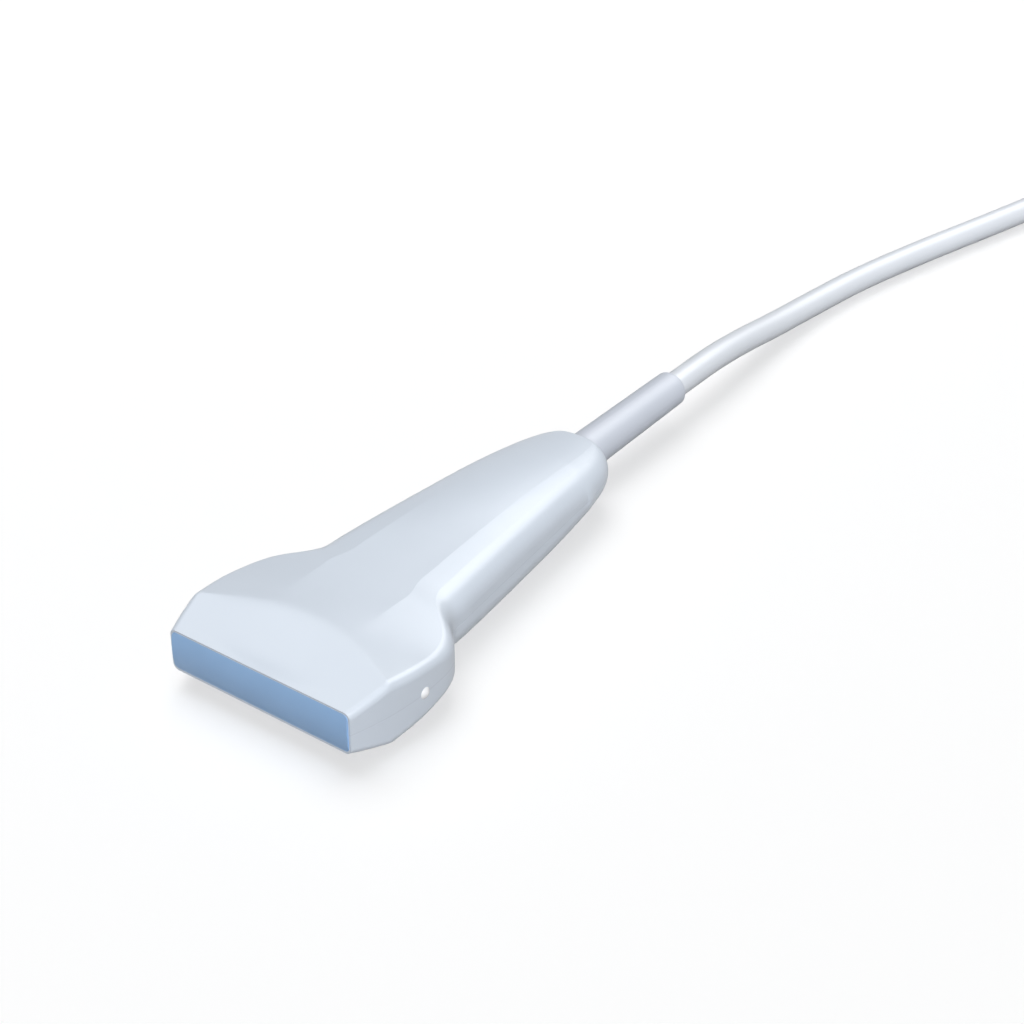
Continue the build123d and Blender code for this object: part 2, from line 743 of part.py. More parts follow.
# Quarter-turn lock: knob, shaft, bush and a cam that reaches out above the contacts
lock_x = body_front - lock_inset
cam_bottom = shroud_height / 2 + shroud_flange + cam_gap
cam_top = cam_bottom + cam_thickness
bore_diameter = shaft_diameter + 2 * running_clearance
bush_diameter = bore_diameter + 2 * bush_wall
bush = post(lock_x, 0, ceiling, plug_top, bush_diameter)
bush += post(lock_x, 0, ceiling - bush_flange_depth, ceiling, bush_diameter + 2 * bush_flange)
shaft_bush = bush - post(lock_x, 0, 0, plug_height, bore_diameter)
plug_cover -= post(lock_x, 0, ceiling - plug_wall, plug_height, bush_diameter + 2 * contact_clearance)
cam_tip = Pos(0, cam_tip_diameter / 2 - cam_reach) * Circle(cam_tip_diameter / 2)
cam_outline = make_hull([*Circle(cam_hub_diameter / 2).edges(), *cam_tip.edges()])
cam_bore = Circle(shaft_diameter / 2 + contact_clearance)
lock_cam = Pos(lock_x, 0, cam_bottom) * extrude(cam_outline - cam_bore, cam_thickness)
cam_slot = block(
    inner_front - plug_wall / 2,
    body_front + plug_wall,
    cam_reach + cam_tip_diameter / 2 + 2 * cam_slot_margin,
    cam_bottom - cam_gap / 2,
    cam_top + cam_gap / 2,
    (cam_tip_diameter / 2 - cam_reach) / 2,
)
plug_cover -= cam_slot
knob_bottom = plug_top + knob_gap
knob_top = knob_bottom + knob_plate + knob_grip_height
shaft_top = knob_top - knob_cap
lock_shaft = post(lock_x, 0, cam_bottom, shaft_top, shaft_diameter)
knob_disc = post(lock_x, 0, knob_bottom, knob_bottom + knob_plate, knob_diameter)
knob_disc = knob_disc.fillet(knob_plate / 4, knob_disc.edges().filter_by(GeomType.CIRCLE))
grip_length = knob_diameter - knob_grip_width / 2
knob_grip = extrude(SlotOverall(grip_length, knob_grip_width, rotation=90), knob_grip_height + knob_plate / 2)
knob_grip = knob_grip.fillet(knob_grip_width / 6, knob_grip.faces().sort_by(Axis.Z)[-1].edges())
lock_knob = knob_disc + Pos(lock_x, 0, knob_bottom + knob_plate / 2) * knob_grip
lock_knob -= post(lock_x, 0, 0, shaft_top, shaft_diameter + 2 * contact_clearance)

connector = {
    "plug_base": plug_base,
    "plug_cover": plug_cover,
    "plug_boot": plug_boot,
    "plug_stub": plug_stub,
    "plug_wires": plug_wires,
    "plug_shroud": plug_shroud,
    "contact_block": contact_block,
    "contact_pins": contact_pins,
    "plug_board": plug_board,
    "plug_screws": plug_screws,
    "shaft_bush": shaft_bush,
    "lock_shaft": lock_shaft,
    "lock_cam": lock_cam,
    "lock_knob": lock_knob,
}
cord = {
    "cable_lead": cable_lead,
    "cable_hank": cable_hank,
    "hank_tie": hank_tie,
    "cable_tail": cable_tail,
}

os.makedirs("parts", exist_ok=True)
pieces = {name: handset_shift * piece for name, piece in handset.items()}
pieces |= {name: plug_place * piece for name, piece in connector.items()}
pieces |= cord
for name, piece in pieces.items():
    export_step(piece, f"parts/{name}.step")
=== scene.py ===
"""Looks of a linear-array ultrasound probe: finishes, cable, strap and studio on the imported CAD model."""
import math

import bpy
from mathutils import Matrix, Vector


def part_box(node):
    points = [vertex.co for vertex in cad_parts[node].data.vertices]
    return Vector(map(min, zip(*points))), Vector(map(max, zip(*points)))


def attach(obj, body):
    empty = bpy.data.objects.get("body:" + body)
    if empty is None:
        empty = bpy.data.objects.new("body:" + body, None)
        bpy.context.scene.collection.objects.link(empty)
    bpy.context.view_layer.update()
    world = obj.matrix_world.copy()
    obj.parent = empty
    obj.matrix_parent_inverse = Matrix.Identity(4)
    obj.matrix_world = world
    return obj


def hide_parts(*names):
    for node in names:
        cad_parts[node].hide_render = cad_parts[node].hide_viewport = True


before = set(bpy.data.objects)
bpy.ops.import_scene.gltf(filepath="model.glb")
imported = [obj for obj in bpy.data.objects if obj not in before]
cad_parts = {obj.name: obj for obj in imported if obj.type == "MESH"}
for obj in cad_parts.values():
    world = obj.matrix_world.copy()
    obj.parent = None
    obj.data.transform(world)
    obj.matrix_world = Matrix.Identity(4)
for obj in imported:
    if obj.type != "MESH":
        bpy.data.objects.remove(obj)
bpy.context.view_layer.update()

bl_info = {
    "name": "Ultrasound probe looks",
    "version": (1, 0, 0),
    "blender": (4, 5, 0),
    "location": "View3D > Sidebar > Probe",
    "description": "Finishes, cable, strap and studio for a linear-array ultrasound probe",
    "category": "Object",
}

MM = 0.001
FAR = 10.0
PROBE = "probe"
SMOOTH_ANGLE = math.radians(35)
TAPE_EDGE = 0.25 * MM
CASE_MIDDLE = -6 * MM
CASE_TOP = 26 * MM
PARTING_HEIGHT = 13 * MM
KNOB_ALONG = 549.5 * MM
KNOB_TOP = 34.4 * MM
MARK_DISTANCE = 14.5 * MM


class ProbeColours(bpy.types.PropertyGroup):
    """Colours of the visible pieces, as sRGB hex values."""

    housing: bpy.props.StringProperty(
        name="Housing", description="Moulded shells of the handset", default="#D4DDE8"
    )
    lens: bpy.props.StringProperty(
        name="Lens", description="Silicone of the acoustic lens", default="#9CC3EE"
    )
    boot: bpy.props.StringProperty(
        name="Boot", description="Soft strain relief of both cable ends", default="#C9CFDA"
    )
    jacket: bpy.props.StringProperty(
        name="Cable jacket", description="Outer jacket of the cable", default="#DDE2E9"
    )
    case: bpy.props.StringProperty(
        name="Connector case", description="Moulded halves of the connector", default="#D5DBE4"
    )
    knob: bpy.props.StringProperty(
        name="Lock knob", description="Knob of the quarter-turn lock", default="#64779A"
    )
    strap: bpy.props.StringProperty(
        name="Strap", description="Woven strap round the put-away cable", default="#5A626F"
    )


class CableSizes(bpy.types.PropertyGroup):
    """Sizes of the cable and of its hank, equal to those of the CAD model."""

    diameter: bpy.props.FloatProperty(
        name="Diameter", description="Outside of the jacket", default=0.0064, unit="LENGTH"
    )
    fold: bpy.props.FloatProperty(
        name="Fold", description="Width of the hank at the middle of its rows", default=0.0384,
        unit="LENGTH",
    )
    near_fold: bpy.props.FloatProperty(
        name="Near fold", description="Centre of the folds nearer the handset", default=0.3185,
        unit="LENGTH",
    )
    far_fold: bpy.props.FloatProperty(
        name="Far fold", description="Centre of the folds nearer the connector", default=0.3825,
        unit="LENGTH",
    )
    side: bpy.props.FloatProperty(
        name="Side", description="Middle of the hank across the table", default=-0.0003, unit="LENGTH"
    )
    first_layer: bpy.props.FloatProperty(
        name="First layer", description="Height of the lowest layer's middle", default=0.0045, unit="LENGTH"
    )


class StudioSettings(bpy.types.PropertyGroup):
    """Camera and light of the product picture."""

    camera_place: bpy.props.FloatVectorProperty(
        name="Camera", description="Place of the camera", default=(-0.3386, -0.2638, 0.2974), subtype="XYZ"
    )
    camera_target: bpy.props.FloatVectorProperty(
        name="Target", description="Point in the middle of the picture", default=(0.0079, -0.0017, 0.0090),
        subtype="XYZ",
    )
    camera_roll: bpy.props.FloatProperty(
        name="Roll", description="Turn of the camera about its own axis", default=math.radians(-0.25),
        subtype="ANGLE",
    )
    field_of_view: bpy.props.FloatProperty(
        name="Field of view", description="Angle across the picture", default=math.radians(24.2),
        subtype="ANGLE",
    )
    floor_size: bpy.props.FloatProperty(
        name="Floor", description="Side of the floor", default=60.0, unit="LENGTH"
    )


def linear(hex_code):
    """sRGB hex value as linear red, green, blue and alpha."""
    parts = [int(hex_code[place:place + 2], 16) / 255 for place in (1, 3, 5)]
    return [part / 12.92 if part <= 0.04045 else ((part + 0.055) / 1.055) ** 2.4 for part in parts] + [1.0]


def add_node(tree, kind, settings=None, links=None, stops=()):
    """Add a node, set its inputs or attributes, link its inputs and give a ramp its stops.

    A key that is a number is the place of an input, as on the Mix node, whose pairs share their names.
    A stop is a place on the ramp and a hex colour.
    """
    node = tree.nodes.new(kind)
    for key, value in (settings or {}).items():
        if isinstance(key, int) or key in node.inputs:
            node.inputs[key].default_value = value
        else:
            setattr(node, key, value)
    for key, source in (links or {}).items():
        tree.links.new(source, node.inputs[key])
    for number, (place, hex_code) in enumerate(stops):
        node.color_ramp.elements[number].position = place
        node.color_ramp.elements[number].color = linear(hex_code)
    return node


def new_material(name):
    """Empty material with its tree, Principled shader and Object coordinates."""
    material = bpy.data.materials.new(name)
    material.use_nodes = True
    tree = material.node_tree
    shader = tree.nodes["Principled BSDF"]
    place = add_node(tree, "ShaderNodeTexCoord").outputs["Object"]
    return material, tree, shader, place


def shade(hex_code, factor):
    """The hex colour made lighter or darker."""
    parts = [min(255, round(int(hex_code[place:place + 2], 16) * factor)) for place in (1, 3, 5)]
    return "#" + "".join(f"{part:02X}" for part in parts)


def moulded_plastic(name, hex_code, roughness, grain_mm, relief, mottle=0.985):
    """Injection-moulded plastic: an even colour with faint flow clouds and a fine spark-eroded grain.

    The real grain, about 0.05 mm, is too fine to show, so it is drawn coarser, at grain_mm.
    """
    material, tree, shader, place = new_material(name)
    clouds = add_node(
        tree, "ShaderNodeTexNoise", {"Scale": 1 / (22 * MM), "Detail": 2.0}, {"Vector": place}
    )
    colour = add_node(
        tree, "ShaderNodeValToRGB", links={"Fac": clouds.outputs["Fac"]},
        stops=((0.3, shade(hex_code, mottle)), (0.7, hex_code)),
    )
    tree.links.new(colour.outputs["Color"], shader.inputs["Base Color"])
    grain = add_node(
        tree, "ShaderNodeTexNoise", {"Scale": 1 / (grain_mm * MM), "Detail": 3.0}, {"Vector": place}
    )
    polish = add_node(
        tree, "ShaderNodeMapRange",
        {"From Min": 0.3, "From Max": 0.7, "To Min": roughness - 0.04, "To Max": roughness + 0.04},
        {"Value": grain.outputs["Fac"]},
    )
    tree.links.new(polish.outputs["Result"], shader.inputs["Roughness"])
    bump = add_node(
        tree, "ShaderNodeBump", {"Strength": relief, "Distance": 0.05 * MM},
        {"Height": grain.outputs["Fac"]},
    )
    tree.links.new(bump.outputs["Normal"], shader.inputs["Normal"])
    shader.inputs["IOR"].default_value = 1.52
    return material


def oval(tree, place, reach):
    """1 in the middle of an oval region of the part, 0 outside. A long reach makes it a slab."""
    region = add_node(
        tree, "ShaderNodeMapping",
        {"Location": [-at / size for at, size in zip(place, reach)], "Scale": [1 / size for size in reach]},
        {"Vector": tree.nodes["Texture Coordinate"].outputs["Object"]},
    )
    inside = add_node(
        tree, "ShaderNodeTexGradient", {"gradient_type": "SPHERICAL"}, {"Vector": region.outputs["Vector"]}
    )
    share = add_node(tree, "ShaderNodeMapRange", {"From Max": 0.35}, {"Value": inside.outputs["Fac"]})
    return share.outputs["Result"]


def tint(material, share, hex_code):
    """Lay a colour over the material's own where the share is 1."""
    tree = material.node_tree
    socket = tree.nodes["Principled BSDF"].inputs["Base Color"]
    under = socket.links[0].from_socket
    laid = add_node(tree, "ShaderNodeMix", {"data_type": "RGBA", 7: linear(hex_code)}, {0: share, 6: under})
    tree.links.new(laid.outputs[2], socket)


def soften_ridge(material, place, reach, radius):
    """Blend the normals across a broad round ridge, inside an oval region of the handset."""
    tree = material.node_tree
    bump = tree.nodes["Principled BSDF"].inputs["Normal"].links[0].from_node
    share = oval(tree, place, reach)
    normal = add_node(tree, "ShaderNodeNewGeometry").outputs["Normal"]
    rounded = add_node(tree, "ShaderNodeBevel", {"samples": 8, "Radius": radius}).outputs["Normal"]
    blended = add_node(tree, "ShaderNodeMix", {"data_type": "VECTOR"}, {0: share, 4: normal, 5: rounded})
    tree.links.new(blended.outputs[1], bump.inputs["Normal"])


def mark_case(material, ink):
    """Painted shade along the case's parting line, and a mark for each end of the lock's turn."""
    tree = material.node_tree
    # Painted shade: a thin grey line at the parting height stands for the shadow in the gap between the
    # halves.
    parting_shadow = oval(tree, (0.0, 0.0, PARTING_HEIGHT), (FAR, FAR, 0.3 * MM))
    tint(material, parting_shadow, "#8E959F")
    dot = oval(tree, (KNOB_ALONG, CASE_MIDDLE + MARK_DISTANCE, CASE_TOP), (1.6 * MM, 1.6 * MM, 2 * MM))
    tint(material, dot, ink)
    bar = oval(tree, (KNOB_ALONG - MARK_DISTANCE, CASE_MIDDLE, CASE_TOP), (3.2 * MM, 1.0 * MM, 2 * MM))
    tint(material, bar, ink)


def ruled_material(name, low, high, line_mm, direction, roughness):
    """Surface with fine parallel lines: diced elements, printed tracks or bundled wires.

    A line and the gap beside it are each about line_mm wide: coarser than real ones, so that they show.
    """
    material, tree, shader, place = new_material(name)
    lines = add_node(
        tree, "ShaderNodeTexWave",
        {"Scale": 0.5 / (line_mm * MM) / math.pi, "bands_direction": direction},
        {"Vector": place},
    )
    colour = add_node(
        tree, "ShaderNodeValToRGB", links={"Fac": lines.outputs["Fac"]}, stops=((0.25, low), (0.45, high))
    )
    tree.links.new(colour.outputs["Color"], shader.inputs["Base Color"])
    bump = add_node(
        tree, "ShaderNodeBump", {"Strength": 0.3, "Distance": 0.05 * MM}, {"Height": lines.outputs["Fac"]}
    )
    tree.links.new(bump.outputs["Normal"], shader.inputs["Normal"])
    shader.inputs["Roughness"].default_value = roughness
    return material


def metal(name, hex_code, roughness, stretch):
    """Machined or drawn metal: fine lines across the stretched direction, drawn coarser than real ones."""
    material, tree, shader, place = new_material(name)
    mapping = add_node(tree, "ShaderNodeMapping", {"Scale": stretch}, {"Vector": place})
    scratches = add_node(
        tree, "ShaderNodeTexNoise", {"Scale": 1 / (0.4 * MM), "Detail": 4.0},
        {"Vector": mapping.outputs["Vector"]},
    )
    colour = add_node(
        tree, "ShaderNodeValToRGB", links={"Fac": scratches.outputs["Fac"]},
        stops=((0.3, shade(hex_code, 0.92)), (0.7, hex_code)),
    )
    tree.links.new(colour.outputs["Color"], shader.inputs["Base Color"])
    wear = add_node(
        tree, "ShaderNodeMapRange",
        {"From Min": 0.3, "From Max": 0.7, "To Min": roughness - 0.06, "To Max": roughness + 0.06},
        {"Value": scratches.outputs["Fac"]},
    )
    tree.links.new(wear.outputs["Result"], shader.inputs["Roughness"])
    shader.inputs["Metallic"].default_value = 1.0
    return material


def woven_strap(name, hex_code):
    """Woven polyamide tape: dull, with crossed threads about 0.8 mm wide that lift the surface."""
    material, tree, shader, place = new_material(name)
    waves = []
    for direction in ("X", "DIAGONAL"):
        waves.append(add_node(
            tree, "ShaderNodeTexWave",
            {"Scale": 0.5 / (0.8 * MM) / math.pi, "Distortion": 0.4, "bands_direction": direction},
            {"Vector": place},
        ))
    weave = add_node(
        tree, "ShaderNodeMath", {"operation": "MULTIPLY"},
        {0: waves[0].outputs["Fac"], 1: waves[1].outputs["Fac"]},
    )
    # Painted shade in the gaps between the threads, and painted light on the thread tops.
    gap = shade(hex_code, 0.7)
    lit_thread = shade(hex_code, 1.15)
    colour = add_node(
        tree, "ShaderNodeValToRGB", links={"Fac": weave.outputs["Value"]}, stops=((0.1, gap), (0.7, lit_thread))
    )
    tree.links.new(colour.outputs["Color"], shader.inputs["Base Color"])
    bump = add_node(
        tree, "ShaderNodeBump", {"Strength": 0.7, "Distance": 0.2 * MM}, {"Height": weave.outputs["Value"]}
    )
    tree.links.new(bump.outputs["Normal"], shader.inputs["Normal"])
    shader.inputs["Roughness"].default_value = 0.85
    shader.inputs["Sheen Weight"].default_value = 0.3
    return material


def dress(names, material):
    """Give CAD nodes a material."""
    for name in names:
        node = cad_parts[name]
        node.data.materials.clear()
        node.data.materials.append(material)


def seen_ray(tree):
    """1 for rays from the camera and for those that come back by reflection or through glass, else 0."""
    path = add_node(tree, "ShaderNodeLightPath").outputs
    seen = path["Is Camera Ray"]
    for ray in ("Is Glossy Ray", "Is Transmission Ray"):
        either = add_node(tree, "ShaderNodeMath", {"operation": "MAXIMUM"}, {0: seen, 1: path[ray]})
        seen = either.outputs["Value"]
    return seen


def deselect():
    """Leave edit mode and select nothing."""
    if bpy.context.object and bpy.context.object.mode != "OBJECT":
        bpy.ops.object.mode_set(mode="OBJECT")
    bpy.ops.object.select_all(action="DESELECT")


def settle(piece):
    """Put the place of a piece into its mesh, so that its object sits at the origin."""
    deselect()
    piece.select_set(True)
    bpy.context.view_layer.objects.active = piece
    bpy.ops.object.transform_apply(location=True, rotation=True, scale=True)


def pick(piece, kind, chosen):
    """Select the faces or edges of a piece that pass a test, and stay in edit mode."""
    bpy.ops.object.mode_set(mode="EDIT")
    bpy.ops.mesh.select_mode(type=kind)
    bpy.ops.mesh.select_all(action="DESELECT")
    bpy.ops.object.mode_set(mode="OBJECT")
    for part in piece.data.polygons if kind == "FACE" else piece.data.edges:
        part.select = chosen(part)
    bpy.ops.object.mode_set(mode="EDIT")


def span(piece, edge):
    """Vector from one end of an edge to the other."""
    first, second = (piece.data.vertices[index].co for index in edge.vertices)
    return second - first


def round_edges(piece, width, segments, limit="ANGLE"):
    """Round the edges of the active piece."""
    bevel = piece.modifiers.new("rounding", "BEVEL")
    bevel.width = width
    bevel.segments = segments
    bevel.limit_method = limit
    bpy.ops.object.modifier_apply(modifier=bevel.name)


class PROBE_OT_handset(bpy.types.Operator):
    """Finish the handset: shells, seals, lens, boot and marker"""

    bl_idname = "probe.handset"
    bl_label = "Handset finish"

    def execute(self, context):
        colours = context.scene.probe_colours
        # ABS from a finely eroded mould: a cool pale satin with broad soft highlights.
        housing = moulded_plastic(
            "housing_moulded_abs", colours.housing, roughness=0.36, grain_mm=0.6, relief=0.05
        )
        ridge_place = (-57.5 * MM, 0.0, 9.0 * MM)
        ridge_reach = (16 * MM, 26 * MM, 40 * MM)
        soften_ridge(housing, ridge_place, ridge_reach, radius=4.5 * MM)
        dress(("upper_shell", "lower_shell"), housing)
        # Silicone pressed into the seams: a little deeper and duller than the housing.
        seal = moulded_plastic(
            "seal_silicone", shade(colours.housing, 0.97), roughness=0.5, grain_mm=0.8, relief=0.05
        )
        dress(("left_seal", "right_seal"), seal)
        # Cast silicone: an even pale blue, slightly cloudy, with a blurred shine.
        lens = moulded_plastic(
            "lens_silicone", colours.lens, roughness=0.42, grain_mm=1.2, relief=0.04, mottle=0.96
        )
        dress(("acoustic_lens",), lens)
        # Moulded elastomer: greyer and duller than the housing, with a faint rubbery grain.
        boot = moulded_plastic(
            "boot_soft_elastomer", colours.boot, roughness=0.48, grain_mm=0.5, relief=0.08
        )
        dress(("strain_relief_boot", "plug_boot"), boot)
        # ABS from a polished mould: a small near-white mark with a crisp highlight.
        marker = moulded_plastic(
            "marker_polished_abs", "#F7F8FA", roughness=0.2, grain_mm=1.0, relief=0.02
        )
        dress(("orientation_marker",), marker)
        return {"FINISHED"}


class PROBE_OT_inside(bpy.types.Operator):
    """Finish what the handset holds: array, boards, wires and clamp"""

    bl_idname = "probe.inside"
    bl_label = "Inner pieces"

    def execute(self, context):
        # Filled epoxy, sawn into strips: brown and matt with dark cuts.
        epoxy = ruled_material(
            "matching_epoxy", "#2C2724", "#5A4F46", line_mm=0.6, direction="Y", roughness=0.5
        )
        dress(("outer_matching_layer",), epoxy)
        # Graphite in epoxy, sawn as well: near black with a slight sheen.
        graphite = ruled_material(
            "graphite_epoxy", "#1E1E20", "#3A3A3E", line_mm=0.6, direction="Y", roughness=0.4
        )
        dress(("inner_matching_layer",), graphite)
        # Fired and diced piezo ceramic: sandy bars with dark cuts between them.
        ceramic = ruled_material(
            "diced_ceramic", "#6E6146", "#C9B98C", line_mm=0.6, direction="Y", roughness=0.45
        )
        dress(("piezo_array",), ceramic)
        # Cast epoxy full of heavy powder: dull, near black and gritty.
        backing = moulded_plastic(
            "backing_cast_epoxy", "#2A2A2C", roughness=0.65, grain_mm=0.3, relief=0.3
        )
        dress(("backing_block",), backing)
        # Moulded glass-filled plastic: dark grey and matt, a little rough.
        carrier = moulded_plastic(
            "carrier_glass_filled_plastic", "#3A3D43", roughness=0.55, grain_mm=0.4, relief=0.15
        )
        dress(("array_frame", "upper_clamp", "lower_clamp"), carrier)
        # Etched polyimide film: glossy amber with darker lines along its tracks.
        film = ruled_material(
            "flex_polyimide", "#8C4A12", "#C67F2A", line_mm=0.8, direction="Y", roughness=0.3
        )
        dress(("upper_flex", "lower_flex"), film)
        # Etched glass laminate under green lacquer: smooth, with the tracks showing through.
        board = ruled_material(
            "board_green_laminate", "#0D4A2C", "#176B40", line_mm=1.6, direction="X", roughness=0.35
        )
        dress(("upper_board", "lower_board", "plug_board"), board)
        # Moulded black polymer: plain, dark and satin.
        socket = moulded_plastic(
            "socket_black_polymer", "#1C1D1F", roughness=0.5, grain_mm=0.4, relief=0.1
        )
        dress(("upper_flex_socket", "lower_flex_socket", "contact_block"), socket)
        # Drawn coax wires in pale jackets, side by side: light and grey stripes.
        wires = ruled_material(
            "coax_wires", "#8C98A8", "#E4E8EE", line_mm=0.5, direction="Y", roughness=0.4
        )
        dress(("coax_fanout", "plug_wires"), wires)
        # Turned and plated brass: warm yellow with fine tool lines.
        brass = metal("plated_brass", "#E3C06A", roughness=0.28, stretch=(1.0, 1.0, 12.0))
        dress(("board_spacers", "braid_ferrule", "shaft_bush", "contact_pins"), brass)
        # Turned steel: cool grey with fine lines round each screw.
        steel = metal("screw_steel", "#B9BCC2", roughness=0.32, stretch=(1.0, 1.0, 12.0))
        dress(("clamp_screws",), steel)
        return {"FINISHED"}


class PROBE_OT_connector(bpy.types.Operator):
    """Finish the connector: case, contact frame, screws and lock"""

    bl_idname = "probe.connector"
    bl_label = "Connector finish"

    def execute(self, context):
        colours = context.scene.probe_colours
        # ABS from a textured mould: pale like the housing but duller, with an even stipple.
        case = moulded_plastic(
            "case_textured_abs", colours.case, roughness=0.5, grain_mm=0.35, relief=0.35
        )
        mark_case(case, colours.knob)
        dress(("plug_base", "plug_cover"), case)
        self.add_grips(context, case)
        # Moulded polyamide: slate blue and satin, with a faint grain and a pale pointer.
        knob = moulded_plastic("knob_polyamide", colours.knob, roughness=0.42, grain_mm=0.4, relief=0.2)
        pointer_place = (KNOB_ALONG, CASE_MIDDLE + 5 * MM, KNOB_TOP)
        pointer = oval(knob.node_tree, pointer_place, (1.1 * MM, 6 * MM, 2 * MM))
        tint(knob, pointer, "#F2F5F9")
        dress(("lock_knob",), knob)
        # Brushed stainless steel: bright grey with fine lines across the frame.
        steel = metal("contact_frame_steel", "#C4C7CC", roughness=0.3, stretch=(14.0, 1.0, 1.0))
        dress(("plug_shroud",), steel)
        # Turned steel: grey, with fine rings of tool marks.
        turned = metal("turned_steel", "#BEC1C7", roughness=0.3, stretch=(1.0, 1.0, 14.0))
        dress(("plug_screws", "lock_shaft", "lock_cam"), turned)
        return {"FINISHED"}

    def add_grips(self, context, material):
        """Low finger ribs in a row on each side of the case, longest in the middle."""
        low, high = (Vector(corner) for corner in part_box("plug_cover"))
        middle = 519 * MM
        spacing = 2.8 * MM
        longest = 16 * MM
        radius = 0.9 * MM
        proud = 0.24 * MM
        ribs = []
        for side in (low.y + radius - proud, high.y - radius + proud):
            for step in range(-3, 4):
                place = (middle + step * spacing, side, PARTING_HEIGHT)
                length = longest * math.sqrt(1 - (step / 4) ** 2)
                deselect()
                bpy.ops.mesh.primitive_cylinder_add(
                    vertices=24, radius=radius, depth=length, location=place
                )
                ribs.append(context.object)
        deselect()
        for rib in ribs:
            rib.select_set(True)
        bpy.ops.object.join()
        row = context.object
        row.name = "grip_ribs"
        settle(row)
        round_edges(row, 0.6 * MM, 3)
        bpy.ops.object.shade_smooth_by_angle(angle=SMOOTH_ANGLE)
        row.data.materials.append(material)
        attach(row, PROBE)


def cable_route(sizes):
    """Control points of the cable: lead, turns of the hank and tail, in the CAD model's places."""
    lead = [
        (72.0, 0.0, 9.0),
        (81.0, 0.0, 9.0),
        (92.0, 0.1, 8.7),
        (105.0, 0.3, 7.2),
        (119.0, 0.3, 5.1),
        (136.0, -0.3, 3.6),
        (157.0, -3.0, 3.3),
        (182.0, -9.2, 3.3),
        (208.0, -16.6, 3.3),
        (231.0, -22.7, 3.4),
        (265.0, -22.7, 4.5),
    ]
    tail = [
        (400.5, -22.7, 17.3),
        (421.5, -22.7, 17.3),
        (441.5, -15.0, 12.0),
        (461.5, -6.0, 13.0),
        (472.0, -6.0, 13.0),
        (483.5, -6.0, 13.0),
    ]
    row = sizes.diameter / 2
    places = [(1, 0), (-1, 0), (-1, 1), (1, 1), (-1, 2), (1, 2)]
    slots = [
        (sizes.fold / 2 + side * row, sizes.first_layer + layer * sizes.diameter) for side, layer in places
    ]
    turns = []
    for here, after in zip(slots, slots[1:]):
        turns += hank_turn(sizes, here, after)
    radius, height = slots[-1]
    turns += [(x, sizes.side - radius, height) for x in (sizes.near_fold + row, sizes.far_fold - row)]
    return [Vector(p) * MM for p in lead] + [Vector(p) for p in turns] + [Vector(p) * MM for p in tail]


def hank_turn(sizes, here, after):
    """One turn of the hank, seven points a fold, that goes from one place in the stack to the next."""
    radius, height = here
    inset = sizes.diameter
    points = [(sizes.near_fold + inset, sizes.side - radius, height)]
    points += [(sizes.far_fold - inset, sizes.side - radius, height)]
    for centre, start, (radius, height) in ((sizes.far_fold, -90, here), (sizes.near_fold, 90, after)):
        for step in range(7):
            angle = math.radians(start + 30 * step)
            reach = 1.015 * radius
            points.append((centre + reach * math.cos(angle), sizes.side + reach * math.sin(angle), height))
    return points


class PROBE_OT_cable(bpy.types.Operator):
    """Lay the cable from the boot to the connector, with its spare length folded in a hank"""

    bl_idname = "probe.cable"
    bl_label = "Cable"

    def execute(self, context):
        sizes = context.scene.probe_cable
        points = cable_route(sizes)
        curve = bpy.data.curves.new("cable", "CURVE")
        curve.dimensions = "3D"
        curve.bevel_depth = sizes.diameter / 2
        curve.bevel_resolution = 6
        curve.resolution_u = 6
        curve.use_fill_caps = True
        spline = curve.splines.new("NURBS")
        spline.points.add(len(points) - 1)
        for point, place in zip(spline.points, points):
            point.co = (*place, 1.0)
        spline.order_u = 3
        spline.use_endpoint_u = True
        cable = bpy.data.objects.new("cable", curve)
        context.scene.collection.objects.link(cable)
        colours = context.scene.probe_colours
        # Extruded soft PVC: pale, smooth and slightly waxy, with a long soft highlight.
        jacket = moulded_plastic(
            "cable_jacket_soft_pvc", colours.jacket, roughness=0.4, grain_mm=0.9, relief=0.06
        )
        curve.materials.append(jacket)
        dress(("cable_stub", "plug_stub"), jacket)
        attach(cable, PROBE)
        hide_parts("cable_lead", "cable_hank", "cable_tail")
        return {"FINISHED"}


